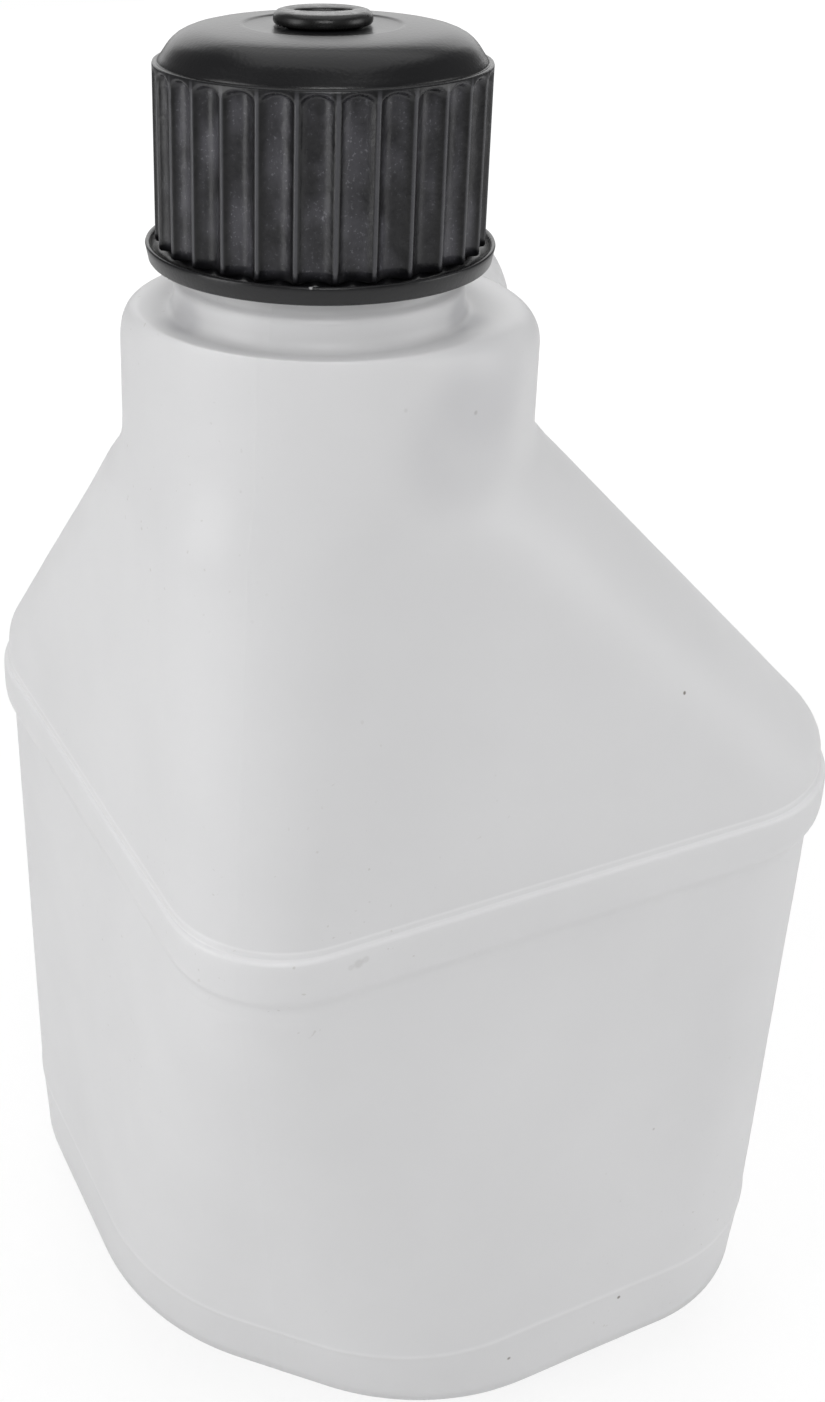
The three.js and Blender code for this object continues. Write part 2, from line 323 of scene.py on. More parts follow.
def wall_levels(shrink, wall_steps, roof_steps, detailed):
    levels = []

    def level(z, inset, side, neck_r, side_r, back_r, flat, column=0):
        levels.append({
            "z": z,
            "inset": inset + shrink,
            "side": side - 2 * shrink,
            "neck_r": neck_r - shrink,
            "side_r": side_r - shrink,
            "back_r": back_r - shrink,
            "flat": flat,
            "column": column and column - shrink,
        })

    def square(z, inset, share):
        neck_r = mix(NECK_CORNER_RADIUS_BASE, NECK_CORNER_RADIUS, share)
        side_r = mix(SIDE_RADIUS_BASE, SIDE_RADIUS, share)
        flat = mix(NECK_CORNER_FLAT_BASE, 0, share)
        level(z, inset, SIDE - 2 * inset, neck_r, side_r, side_r, flat)

    def wall(z, inset):
        share = max(0, (z - CORNER_FOOT) / (wall_top - CORNER_FOOT))
        square(z, LOWER_INSET + inset, share)

    wall_top = BAND_FOOT - (BAND_BLEND if detailed else 0)
    for i in range(9):
        t = i / 8
        wall(BEVEL_HEIGHT * t, mix(BEVEL_INSET, FOOT_INSET, t))
    for i in range(1, 6):
        t = i / 6
        wall(mix(BEVEL_HEIGHT, FOOT_HEIGHT, t), mix(FOOT_INSET, 0, t))
    if detailed:
        for rise, inset in CREASE:
            wall(FOOT_HEIGHT + rise, inset)
    for i in range(wall_steps + 1):
        wall(mix(FOOT_HEIGHT + 4.5, wall_top, i / wall_steps), 0)
    if detailed:
        for rise, inset in BAND_PROFILE:
            square(BAND_FOOT + rise, inset, 1)
        square(mix(BAND_FOOT + BAND_PROFILE[-1][0], ROOF_FOOT, 0.5), UPPER_INSET, 1)
    else:
        square(BAND_FOOT + BAND_HEIGHT * 0.3, 0, 1)
        square(BAND_FOOT + BAND_HEIGHT * 0.75, 0, 1)
        square(BAND_TOP, UPPER_INSET, 1)
    wall_back = -HALF + SIDE - UPPER_INSET
    for i in range(roof_steps + 1):
        t = i / roof_steps
        z = mix(ROOF_FOOT, ROOF_END, t)
        share = eased_ramp(t, 0.07, 0.11)
        inset = mix(UPPER_INSET, 3.2, smooth(ROOF_FOOT, 300, z)) + 4.5 * smooth(308, 334, z)
        side = mix(wall_back, ROOF_BACK, share) + HALF - inset
        side_r = min(mix(SIDE_RADIUS, HIP_RADIUS, share), side / 2 - 0.5)
        neck_r = min(mix(NECK_CORNER_RADIUS, 44, smooth(ROOF_FOOT, 330, z)), side - side_r - 0.5)
        back_r = side_r + HIP_SOFTENING * math.sin(math.pi * share)
        back_r = min(back_r, side - side_r - 0.5, side / 2)
        level(z, inset, side, neck_r, side_r, back_r, 0, COLUMN_RADIUS if z > COLUMN_FROM else 0)
    return levels


def thread_ridge(z, angles):
    """How far the neck's screw thread stands out at one height, all round."""
    turn = (z - THREAD_LOW) / THREAD_PITCH - angles / (2 * math.pi)
    off_crest = np.abs(np.mod(turn + 0.5, 1) - 0.5) * THREAD_PITCH
    fade = smooth(0, 0.25, turn) * smooth(THREAD_TURNS, THREAD_TURNS - 0.25, turn)
    return THREAD_HEIGHT * smooth(1.7, 0.5, off_crest) * fade


def outer_rings(angles):
    levels = wall_levels(0, 44, 64, True)
    foot = levels[0]
    rings = []
    for z, grow in (
        (BASE_PUSH_UP, BASE_RIM + 60), (BASE_PUSH_UP, BASE_RIM + 30),
        (BASE_PUSH_UP, BASE_RIM + 10), (BASE_PUSH_UP - 0.8, BASE_RIM + 7),
        (0.8, BASE_RIM + 2), (0, BASE_RIM), (0, BASE_RIM / 2),
    ):
        under = dict(foot)
        under["z"] = z
        under["inset"] = foot["inset"] + grow
        under["side"] = foot["side"] - 2 * grow
        for key in ("neck_r", "side_r", "back_r"):
            under[key] = max(foot[key] - grow, 4.0)
        rings.append(rounded_square(under, angles))
    rings.extend(rounded_square(item, angles) for item in levels)
    straight_top = SHOULDER_TOP - SHOULDER_ROUND
    for i in range(1, 8):
        rings.append(circle(COLUMN_AT, COLUMN_RADIUS, mix(ROOF_END, straight_top, i / 8), angles))
    inner = RECESS_RADIUS + 3
    for i in range(17):
        angle = math.pi / 2 * i / 16
        share = 1 - math.cos(angle)
        rings.append(circle(
            mix(COLUMN_AT, NECK_AT, share), mix(COLUMN_RADIUS, inner, share),
            straight_top + SHOULDER_ROUND * math.sin(angle), angles,
        ))
    low = SHOULDER_TOP - RECESS_DEPTH * 0.3
    for radius, z in (
        (RECESS_RADIUS + 2.0, SHOULDER_TOP), (RECESS_RADIUS + 1.0, SHOULDER_TOP - 0.05),
        (RECESS_RADIUS, SHOULDER_TOP - 0.15), (RECESS_RADIUS - 1.0, SHOULDER_TOP - 0.29),
        (RECESS_RADIUS - 2.0, SHOULDER_TOP - 0.42), (RECESS_RADIUS - 2.9, low + 0.09),
        (COLLAR_RADIUS + 1.5, low + 0.25), (COLLAR_RADIUS + 0.8, low + 0.9),
        (COLLAR_RADIUS + 0.3, low + 1.9), (COLLAR_RADIUS, low + 3.2),
        (COLLAR_RADIUS, COLLAR_TOP - 1.6), (COLLAR_RADIUS - 0.2, COLLAR_TOP - 0.7),
        (COLLAR_RADIUS - 0.7, COLLAR_TOP), (NECK_RADIUS + 0.35, COLLAR_TOP + 0.5),
        (NECK_RADIUS, COLLAR_TOP + 1.3), (NECK_RADIUS, THREAD_LOW - 6),
    ):
        rings.append(circle(NECK_AT, radius, z, angles))
    thread_top = MOUTH - 3
    steps = 70
    for i in range(steps + 1):
        z = mix(THREAD_LOW - 3, thread_top, i / steps)
        rings.append(circle(NECK_AT, NECK_RADIUS + thread_ridge(z, angles), z, angles))
    rings.append(circle(NECK_AT, NECK_RADIUS, MOUTH - 0.9, angles))
    rings.append(circle(NECK_AT, NECK_RADIUS - 0.3, MOUTH - 0.3, angles))
    rings.append(circle(NECK_AT, NECK_RADIUS - 0.9, MOUTH, angles))
    return [mould_seam(ring, angles) for ring in rings]


def seam_angles(count):
    """Even angles, with extra ones close to the two halves of the mould seam."""
    close = (-0.9, -0.45, -0.2, 0, 0.2, 0.45, 0.9)
    extra = [at + near for at in SEAM_AT for near in close]
    even = np.linspace(0, 360, count, endpoint=False)
    even = [a for a in even if min(abs(a - at) for at in SEAM_AT) > SEAM_CLEAR]
    return np.radians(sorted(even + extra))


def mould_seam(ring, angles):
    """A fine raised line where the two halves of the mould met, in the diagonal plane."""
    raised = sum(np.exp(-((np.degrees(angles) - at) / 0.3) ** 2) for at in SEAM_AT)
    height = SEAM_HEIGHT * raised * smooth(4, 24, ring[:, 2])
    ring[:, 0] += height * np.cos(angles)
    ring[:, 1] += height * np.sin(angles)
    return ring


def cavity_rings(angles):
    floor = BASE_PUSH_UP + WALL
    levels = [item for item in wall_levels(WALL, 6, 20, False) if item["z"] > floor]
    foot = dict(levels[0])
    foot["z"] = floor
    foot["inset"] += 4
    foot["side"] -= 8
    rings = [rounded_square(foot, angles)]
    rings.extend(rounded_square(item, angles) for item in levels)
    under = SHOULDER_TOP - RECESS_DEPTH - WALL
    for centre, radius, z in (
        (COLUMN_AT, COLUMN_RADIUS - WALL, under - 8),
        (mix(COLUMN_AT, NECK_AT, 0.5), COLUMN_RADIUS - WALL - 5, under - 2),
        (NECK_AT, NECK_BORE + 4, under),
        (NECK_AT, NECK_BORE, under + 4),
        (NECK_AT, NECK_BORE, MOUTH + 1),
    ):
        rings.append(circle(centre, radius, z, angles))
    return rings


def centripetal_curve(points, steps):
    """A smooth curve through the points, its knots spaced by the root of the distance."""
    points = np.asarray(points, float)
    points = np.vstack([2 * points[0] - points[1], points, 2 * points[-1] - points[-2]])
    curve = []
    for k in range(1, len(points) - 2):
        p = points[k - 1:k + 3]
        knots = np.concatenate([[0], np.cumsum(np.linalg.norm(np.diff(p, axis=0), axis=1) ** 0.5)])
        for t in np.linspace(knots[1], knots[2], steps, endpoint=False):
            a = [
                (knots[i + 1] - t) / (knots[i + 1] - knots[i]) * p[i]
                + (t - knots[i]) / (knots[i + 1] - knots[i]) * p[i + 1]
                for i in range(3)
            ]
            b = [
                (knots[i + 2] - t) / (knots[i + 2] - knots[i]) * a[i]
                + (t - knots[i]) / (knots[i + 2] - knots[i]) * a[i + 1]
                for i in range(2)
            ]
            curve.append(
                (knots[2] - t) / (knots[2] - knots[1]) * b[0]
                + (t - knots[1]) / (knots[2] - knots[1]) * b[1]
            )
    curve.append(points[-2])
    return np.array(curve)


def grip_rings(shrink, around, steps):
    """The grip's bent tube, its path given along the diagonal from the neck's corner."""
    path = centripetal_curve([
        (COLUMN_BACK - 26, GRIP_HEIGHT - 7 - 2 * shrink),
        (COLUMN_BACK, GRIP_HEIGHT - 2),
        (COLUMN_BACK + 30, GRIP_HEIGHT),
        (COLUMN_BACK + 56, GRIP_HEIGHT - 10),
        (mix(COLUMN_BACK, BACK_CORNER, 0.6), mix(GRIP_HEIGHT, GRIP_END, 0.27)),
        (mix(COLUMN_BACK, BACK_CORNER, 0.78), mix(GRIP_HEIGHT, GRIP_END, 0.62)),
        (BACK_CORNER - GRIP_DEPTH / 2 - 3, GRIP_END),
        (BACK_CORNER - GRIP_DEPTH / 2 - 5, BAND_TOP),
    ], steps)
    along = np.gradient(path, axis=0)
    along /= np.linalg.norm(along, axis=1)[:, None]
    rings = []
    for (s, z), (ds, dz) in zip(path, along):
        turn = np.linspace(0, 2 * math.pi, around, endpoint=False)
        across = (GRIP_WIDTH / 2 - shrink) * np.cos(turn)
        out = (GRIP_DEPTH / 2 - shrink) * np.sin(turn)
        run = s - dz * out
        ring = np.empty((around, 3))
        ring[:, 0] = -HALF + (run + across) / math.sqrt(2)
        ring[:, 1] = -HALF + (run - across) / math.sqrt(2)
        ring[:, 2] = z + ds * out
        rings.append(ring)
    return rings


def combine(piece, other, operation):
    modifier = piece.modifiers.new("cut", "BOOLEAN")
    modifier.operation = operation
    modifier.solver = "EXACT"
    modifier.object = other
    bpy.context.view_layer.update()
    evaluated = piece.evaluated_get(bpy.context.evaluated_depsgraph_get())
    mesh = bpy.data.meshes.new_from_object(evaluated)
    piece.modifiers.clear()
    piece.data = mesh
    bpy.data.objects.remove(other)


def clean(piece):
    """Merges the slivers that the cuts leave behind."""
    mesh = bmesh.new()
    mesh.from_mesh(piece.data)
    bmesh.ops.remove_doubles(mesh, verts=mesh.verts, dist=0.003 * MM)
    bmesh.ops.dissolve_degenerate(mesh, edges=mesh.edges, dist=0.003 * MM)
    mesh.to_mesh(piece.data)
    mesh.free()


def positions(mesh):
    co = np.empty(len(mesh.vertices) * 3)
    mesh.vertices.foreach_get("co", co)
    return co.reshape(-1, 3)


def relax(piece, weight, rounds):
    """Averages each vertex with its neighbours, as far as its weight allows."""
    mesh = piece.data
    co = positions(mesh)
    edges = np.empty(len(mesh.edges) * 2, int)
    mesh.edges.foreach_get("vertices", edges)
    a, b = edges.reshape(-1, 2).T
    degree = np.bincount(np.concatenate([a, b]), minlength=len(co))[:, None]
    for _ in range(rounds):
        total = np.zeros_like(co)
        np.add.at(total, a, co[b])
        np.add.at(total, b, co[a])
        co += weight[:, None] * (total / np.maximum(degree, 1) - co)
    mesh.vertices.foreach_set("co", co.ravel())
    mesh.update()


def ripple(piece):
    """The faint waviness of a blow moulding, always inward."""
    mesh = piece.data
    co = positions(mesh)
    normals = np.empty(len(mesh.vertices) * 3)
    mesh.vertices.foreach_get("normal", normals)
    normals = normals.reshape(-1, 3)
    wave = np.array([
        0.28 * noise.noise(Vector(p) * 16) + 0.10 * noise.noise(Vector(p) * 60)
        for p in co
    ]) * MM
    inward = np.minimum(wave, 0)
    height = co[:, 2] / MM
    edge = np.minimum(smooth(4, 30, height), smooth(COLUMN_TOP_FADE, 350, height))
    moved = co + normals * (inward * edge)[:, None]
    mesh.vertices.foreach_set("co", moved.ravel())
    mesh.update()


def jug_shell():
    angles = seam_angles(288)
    shell = loft("jug_shell", outer_rings(angles))
    handle = loft("grip", grip_rings(0, 64, 14))
    combine(shell, handle, "UNION")
    co = positions(shell.data)
    blend = grip_root_weight(co / MM)
    relax(shell, blend * 0.6, 26)
    ripple(shell)
    inner_angles = np.linspace(0, 2 * math.pi, 96, endpoint=False)
    hollow = loft("cavity", cavity_rings(inner_angles))
    combine(hollow, loft("grip_bore", grip_rings(WALL, 24, 4)), "UNION")
    combine(shell, hollow, "DIFFERENCE")
    clean(shell)
    shell.data.shade_smooth()
    return shell


def grip_root_weight(co):
    """Near 1 where the grip meets the column and the roof, and 0 elsewhere."""
    along = (co[:, 0] + co[:, 1] + 2 * HALF) / math.sqrt(2)
    across = (co[:, 0] - co[:, 1]) / math.sqrt(2)
    near_top = np.hypot(np.hypot(along - COLUMN_BACK, across * 0.8), co[:, 2] - GRIP_HEIGHT + 2)
    low_at = BACK_CORNER - GRIP_DEPTH / 2 - 4
    near_low = np.hypot(np.hypot(along - low_at, across * 0.8), co[:, 2] - ROOF_FOOT - 8)
    weight = np.maximum(smooth(27, 15, near_top), smooth(30, 18, near_low))
    return weight * smooth(ROOF_FOOT - 4, ROOF_FOOT + 2, co[:, 2])


def cap_ring(radius, z, angles, depth=0.0):
    share = np.mod(angles * FLUTES / (2 * math.pi) - FLUTE_PHASE, 1)
    across = np.clip((share - RIDGE_SHARE) / (1 - 2 * RIDGE_SHARE), 0, 1)
    scoop = 1 - (2 * across - 1) ** 2
    arch = DOME_BASE - 0.9 - FLUTE_ARCH * (1 - np.sqrt(scoop))
    cut = depth * scoop ** 0.85 * smooth(arch, arch - 1.1, np.full_like(angles, z))
    r = radius - cut
    ring = np.empty((len(angles), 3))
    ring[:, 0] = NECK_AT + r * np.cos(angles)
    ring[:, 1] = NECK_AT + r * np.sin(angles)
    ring[:, 2] = z
    return ring


def dome_profile():
    """Radius and height from the skirt's top edge to the hole, read off the real dome."""
    return [
        (CAP_RADIUS - 0.12, DOME_BASE - 0.25), (CAP_RADIUS - 0.4, DOME_BASE - 0.1),
        (CAP_RADIUS - 0.95, DOME_BASE - 0.15), (CAP_RADIUS - 1.15, DOME_BASE - 0.35),
        (38.15, 417.85), (37.95, 418.25), (37.4, 419.0), (36.85, 419.8), (36.25, 420.7),
        (35.6, 421.55), (34.8, 422.4), (33.75, 423.25), (32.4, 423.98), (30.8, 424.6),
        (29.0, 425.02), (27.0, 425.3), (24.5, 425.52), (21.9, 425.68), (19.6, CAP_TOP - 0.02),
        (18.9, CAP_TOP), (18.4, CAP_TOP - 0.08), (18.1, PLUG_SEAT + 0.08),
        (17.6, PLUG_SEAT), (12.0, PLUG_SEAT), (HOLE_RADIUS + 0.6, PLUG_SEAT),
        (HOLE_RADIUS, PLUG_SEAT - 0.4),
    ]


def cap_shell():
    angles = np.linspace(0, 2 * math.pi, FLUTES * 22, endpoint=False)
    rings = []

    def add(radius, z, depth=0.0):
        rings.append(cap_ring(radius, z, angles, depth))

    for radius, z in (
        (CAP_INNER, CAP_FLOOR), (CAP_INNER + 2, CAP_FLOOR), (FLANGE_RADIUS - 0.8, CAP_FLOOR),
        (FLANGE_RADIUS - 0.2, CAP_FLOOR + 0.15), (FLANGE_RADIUS + 0.15, CAP_FLOOR + 0.6),
        (FLANGE_TOP_RADIUS - 0.2, LIP_TOP - 1.5), (FLANGE_TOP_RADIUS, LIP_TOP - 0.5),
        (FLANGE_TOP_RADIUS - 0.15, LIP_TOP - 0.1), (FLANGE_TOP_RADIUS - 0.5, LIP_TOP),
        (FLANGE_TOP_RADIUS - 0.9, LIP_TOP - 0.1), (FLANGE_TOP_RADIUS - 1.2, LIP_TOP - 0.6),
        (CAP_RADIUS + 0.5, LIP_TOP - 2.0), (CAP_RADIUS - 2.6, LIP_TOP - 2.2),
        (CAP_RADIUS - 2.7, LIP_TOP - 0.4),
    ):
        add(radius, z)
    add(CAP_RADIUS - 0.3, LIP_TOP - 0.3, FLUTE_DEPTH)
    add(CAP_RADIUS, LIP_TOP + 0.1, FLUTE_DEPTH)
    for i in range(1, 30):
        add(CAP_RADIUS, mix(LIP_TOP + 0.1, DOME_BASE - 5, i / 29), FLUTE_DEPTH)
    for i in range(1, 15):
        add(CAP_RADIUS, mix(DOME_BASE - 5, DOME_BASE - 0.6, i / 14), FLUTE_DEPTH)
    for radius, z in dome_profile():
        add(radius, z)
    for radius, z in (
        (HOLE_RADIUS, PLUG_SEAT - CAP_WALL), (CAP_INNER - 12, PLUG_SEAT - CAP_WALL),
        (CAP_INNER - 9, CAP_SEAT), (CAP_INNER - 0.3, CAP_SEAT), (CAP_INNER, CAP_SEAT - 0.4),
    ):
        add(radius, z)
    for i in range(1, 12):
        add(CAP_INNER, mix(CAP_SEAT - 0.4, CAP_FLOOR, i / 12))
    return loft("cap_shell", rings, loop=True)


def plug_shell():
    seat = PLUG_SEAT + 0.25
    angles = np.linspace(0, 2 * math.pi, 128, endpoint=False)
    slot_length, slot_width, slot_depth = 6.6, 2.7, 1.9
    rings = []
    for radius, z in (
        (HOLE_RADIUS - 1.4, PLUG_FOOT), (HOLE_RADIUS - 0.6, PLUG_FOOT + 0.3),
        (HOLE_RADIUS - 0.3, PLUG_FOOT + 1.2), (HOLE_RADIUS - 0.3, seat - 0.2),
        (PLUG_RADIUS - 1.6, seat), (PLUG_RADIUS - 0.8, seat + 0.05),
        (PLUG_RADIUS - 0.35, seat + 0.25), (PLUG_RADIUS - 0.1, seat + 0.6),
        (PLUG_RADIUS, seat + 1.1), (PLUG_RADIUS - 0.03, seat + 1.6),
        (PLUG_RADIUS - 0.15, seat + 2.1), (PLUG_RADIUS - 0.45, PLUG_TOP - 0.6),
        (PLUG_RADIUS - 0.9, PLUG_TOP - 0.22), (PLUG_RADIUS - 1.5, PLUG_TOP - 0.04),
        (PLUG_RADIUS - 2.0, PLUG_TOP),
    ):
        rings.append(circle(NECK_AT, radius, z, angles + math.radians(SLOT_TURN)))
    eye = np.sqrt((np.cos(angles) * slot_length) ** 2 + (np.sin(angles) * slot_width) ** 2)
    across = slot_width * np.sin(angles) * np.abs(np.sin(angles)) ** 0.15
    turn = math.radians(SLOT_TURN)
    for grow, z in (
        (0.5, PLUG_TOP), (0.2, PLUG_TOP - 0.08), (0.0, PLUG_TOP - 0.3),
        (-0.1, PLUG_TOP - slot_depth + 0.3), (-0.5, PLUG_TOP - slot_depth),
    ):
        scale = 1 + grow / np.maximum(eye, 1.0)
        ring = np.empty((len(angles), 3))
        run = slot_length * np.cos(angles) * scale
        ring[:, 0] = NECK_AT + run * math.cos(turn) - across * scale * math.sin(turn)
        ring[:, 1] = NECK_AT + run * math.sin(turn) + across * scale * math.cos(turn)
        ring[:, 2] = z
        rings.append(ring)
    return loft("plug_head", rings)


# Materials

def material(name):
    made = bpy.data.materials.new(name)
    made.use_nodes = True
    nodes = made.node_tree.nodes
    return made, nodes, made.node_tree.links, nodes["Principled BSDF"]


def ramp(nodes, links, source, stops):
    node = nodes.new("ShaderNodeValToRGB")
    while len(node.color_ramp.elements) < len(stops):
        node.color_ramp.elements.new(0.5)
    for element, (at, value) in zip(node.color_ramp.elements, stops):
        element.position = at
        element.color = (*value, 1) if isinstance(value, tuple) else (value, value, value, 1)
    links.new(source, node.inputs[0])
    return node.outputs[0]


def texture(nodes, links, scale, detail=3.0, stretch=(1, 1, 1), kind="ShaderNodeTexNoise"):
    where = nodes.new("ShaderNodeTexCoord")
    mapping = nodes.new("ShaderNodeMapping")
    mapping.inputs["Scale"].default_value = stretch
    links.new(where.outputs["Object"], mapping.inputs["Vector"])
    node = nodes.new(kind)
    node.inputs["Scale"].default_value = scale
    if kind == "ShaderNodeTexNoise":
        node.inputs["Detail"].default_value = detail
    links.new(mapping.outputs["Vector"], node.inputs["Vector"])
    return node


def mixed(nodes, links, factor, first, second, blend="MIX"):
    node = nodes.new("ShaderNodeMix")
    node.data_type = "RGBA"
    node.blend_type = blend
    factor_socket, first_socket, second_socket = node.inputs[0], node.inputs[6], node.inputs[7]
    for socket, value in (
        (factor_socket, factor), (first_socket, first), (second_socket, second)
    ):
        if isinstance(value, (int, float)):
            socket.default_value = value
        elif isinstance(value, tuple):
            socket.default_value = (*value, 1)
        else:
            links.new(value, socket)
    return node.outputs[2]


def bumped(nodes, links, shader, layers):
    previous = None
    for height, strength, distance in layers:
        node = nodes.new("ShaderNodeBump")
        node.inputs["Strength"].default_value = strength
        node.inputs["Distance"].default_value = distance
        links.new(height, node.inputs["Height"])
        if previous:
            links.new(previous, node.inputs["Normal"])
        previous = node.outputs["Normal"]
    links.new(previous, shader.inputs["Normal"])


def near_point(nodes, links, at, radius, strength):
    """A soft round spot about one point, for a speck of dirt, a small mark or a spot of painted
    shade.
    """
    where = nodes.new("ShaderNodeTexCoord")
    apart = nodes.new("ShaderNodeVectorMath")
    apart.operation = "DISTANCE"
    apart.inputs[1].default_value = [value * MM for value in at]
    links.new(where.outputs["Object"], apart.inputs[0])
    fade = nodes.new("ShaderNodeMapRange")
    fade.interpolation_type = "SMOOTHSTEP"
    fade.inputs["From Min"].default_value = radius * MM
    fade.inputs["From Max"].default_value = radius * MM * 0.4
    fade.inputs["To Max"].default_value = strength
    links.new(apart.outputs["Value"], fade.inputs["Value"])
    return fade.outputs[0]


def spotted(nodes, links, color, places, tint):
    """A colour with spots of a tint laid over it at the listed places."""
    for at, radius, strength in places:
        spot = near_point(nodes, links, at, radius, strength)
        color = mixed(nodes, links, spot, color, tint)
    return color


def jug_material():
    made, nodes, links, shader = material("jug_plastic")
    cloud = texture(nodes, links, 14, 3)
    tint = ramp(
        nodes, links, cloud.outputs[0], [(0.3, (0.70, 0.70, 0.707)), (0.7, (0.735, 0.735, 0.742))]
    )
    grains = texture(nodes, links, 520, 1)
    dot = ramp(nodes, links, grains.outputs[0], [(0.745, 0.0), (0.79, 0.45)])
    patches = texture(nodes, links, 9, 1)
    where = ramp(nodes, links, patches.outputs[0], [(0.50, 0.0), (0.64, 0.8)])
    speck = mixed(nodes, links, 1.0, dot, where, "MULTIPLY")
    color = mixed(nodes, links, speck, tint, (0.42, 0.40, 0.37))
    color = spotted(nodes, links, color, SPECKS, (0.16, 0.14, 0.12))
    # Painted highlights: pale lines laid along the band's top edge and the base's crease
    for foot, top, stops in PAINTED_HIGHLIGHT_LINES:
        highlight_line = ramp(nodes, links, height_share(nodes, links, foot, top), stops)
        color = mixed(nodes, links, highlight_line, color, (0.95, 0.95, 0.96))
    # Painted shade: darker spots in the recess round the neck and on the column
    color = spotted(nodes, links, color, PAINTED_SHADES, (0.25, 0.25, 0.28))
    links.new(color, shader.inputs["Base Color"])
    scuff = texture(nodes, links, 40, 4)
    rough = ramp(nodes, links, scuff.outputs[0], [(0.3, 0.33), (0.7, 0.43)])
    links.new(rough, shader.inputs["Roughness"])
    shader.inputs["Specular IOR Level"].default_value = 0.4
    shader.inputs["Subsurface Weight"].default_value = 0.4
    shader.inputs["Subsurface Radius"].default_value = (0.003, 0.003, 0.003)
    shader.inputs["Subsurface Scale"].default_value = 1.0
    grain = texture(nodes, links, 420, 2)
    dimple = texture(nodes, links, 90, 2)
    bumped(nodes, links, shader, [
        (dimple.outputs[0], 0.12, 0.0006), (grain.outputs[0], 0.10, 0.00015),
    ])
    return made


def math_node(nodes, links, operation, first, second=None):
    node = nodes.new("ShaderNodeMath")
    node.operation = operation
    for socket, value in zip(node.inputs, (first, second)):
        if isinstance(value, (int, float)):
            socket.default_value = value
        elif value is not None:
            links.new(value, socket)
    return node.outputs[0]


def flute_place(nodes, links):
    """0 on the middle of a ridge, 0.5 in the middle of a flute."""
    where = nodes.new("ShaderNodeTexCoord")
    mapping = nodes.new("ShaderNodeMapping")
    mapping.inputs["Location"].default_value = (-NECK_AT * MM, -NECK_AT * MM, 0)
    links.new(where.outputs["Object"], mapping.inputs["Vector"])
    sweep = nodes.new("ShaderNodeTexGradient")
    sweep.gradient_type = "RADIAL"
    links.new(mapping.outputs["Vector"], sweep.inputs["Vector"])
    turns = math_node(nodes, links, "MULTIPLY", sweep.outputs["Fac"], float(FLUTES))
    shifted = math_node(nodes, links, "SUBTRACT", turns, FLUTE_PHASE)
    return math_node(nodes, links, "PINGPONG", shifted, 0.5)


def height_share(nodes, links, foot, top):
    """How far up a piece lies between two heights, from 0 to 1."""
    position = nodes.new("ShaderNodeTexCoord")
    split = nodes.new("ShaderNodeSeparateXYZ")
    links.new(position.outputs["Object"], split.inputs[0])
    height = nodes.new("ShaderNodeMapRange")
    height.inputs["From Min"].default_value = foot * MM
    height.inputs["From Max"].default_value = top * MM
    links.new(split.outputs["Z"], height.inputs["Value"])
    return height.outputs[0]


def cap_material():
    made, nodes, links, shader = material("cap_plastic")
    height = height_share(nodes, links, LIP_TOP, DOME_BASE)
    on_skirt = ramp(nodes, links, height, [(0.0, 0.0), (0.05, 1.0), (0.95, 1.0), (1.0, 0.0)])
    place = flute_place(nodes, links)
    in_flute = ramp(nodes, links, place, [(0.10, 0.0), (0.24, 1.0)])
    on_ridge = ramp(nodes, links, place, [(0.035, 1.0), (0.07, 0.0)])
    haze = texture(nodes, links, 110, 3, (1, 1, 0.8))
    cloudy = ramp(nodes, links, haze.outputs[0], [(0.40, 0.12), (0.66, 1.0)])
    cloud = mixed(nodes, links, 1.0, cloudy, in_flute, "MULTIPLY")
    worn = mixed(nodes, links, 1.0, cloud, on_skirt, "MULTIPLY")
    edge = mixed(nodes, links, 1.0, on_ridge, on_skirt, "MULTIPLY")
    grit = ramp(nodes, links, texture(nodes, links, 1500, 2).outputs[0], [(0.60, 0.0), (0.74, 0.7)])
    dust = mixed(nodes, links, 1.0, grit, worn, "MULTIPLY")
    dark = mixed(nodes, links, worn, (0.006, 0.006, 0.007), (0.058, 0.057, 0.066))
    dark = mixed(nodes, links, dust, dark, (0.20, 0.20, 0.22))
    color = mixed(nodes, links, edge, dark, (0.060, 0.060, 0.066))
    color = spotted(nodes, links, color, CHIPS, (0.55, 0.55, 0.55))
    links.new(color, shader.inputs["Base Color"])
    rough = mixed(nodes, links, worn, (0.29, 0.29, 0.29), (0.34, 0.34, 0.34))
    links.new(rough, shader.inputs["Roughness"])
    fine = texture(nodes, links, 1100, 2)
    dents = mixed(nodes, links, 1.0, haze.outputs[0], on_skirt, "MULTIPLY")
    bumped(nodes, links, shader, [
        (dents, 0.6, 0.0009), (fine.outputs[0], 0.35, 0.00014),
    ])
    return made


def rubber_material(name, roughness):
    made, nodes, links, shader = material(name)
    cloud = texture(nodes, links, 120, 3)
    color = ramp(nodes, links, cloud.outputs[0], [(0.3, 0.006), (0.7, 0.014)])
    links.new(color, shader.inputs["Base Color"])
    fine = texture(nodes, links, 600, 2)
    links.new(
        ramp(nodes, links, fine.outputs[0], [(0.3, roughness - 0.05), (0.7, roughness + 0.08)]),
        shader.inputs["Roughness"],
    )
    bumped(nodes, links, shader, [(fine.outputs[0], 0.12, 0.0001)])
    return made


def dress(piece, made, body, slot, *nodes):
    piece.data.materials.clear()
    piece.data.materials.append(made)
    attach(piece, body)
    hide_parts(*nodes)


# The room

WORLD_DIFFUSE = 0.40
WORLD_MIRRORED = 0.16
LAMPS = [
    ("key", (-1.3, 0.0, 0.62), (0, 0, 0.25), (0.6, 1.1), 5.6),
    ("top", (0.1, 0.1, 1.5), (0, 0, 0.2), (1.4, 1.4), 5.0),
    ("back", (0.7, 1.5, 1.0), (0, 0, 0.4), (2.2, 1.2), 10.0),
    ("front", (-0.6, -1.4, 1.25), (0, 0, 0.3), (0.7, 0.5), 6.6),
    ("fill", (1.2, -0.9, 0.6), (0, 0, 0.2), (0.9, 0.9), 4.9),
]


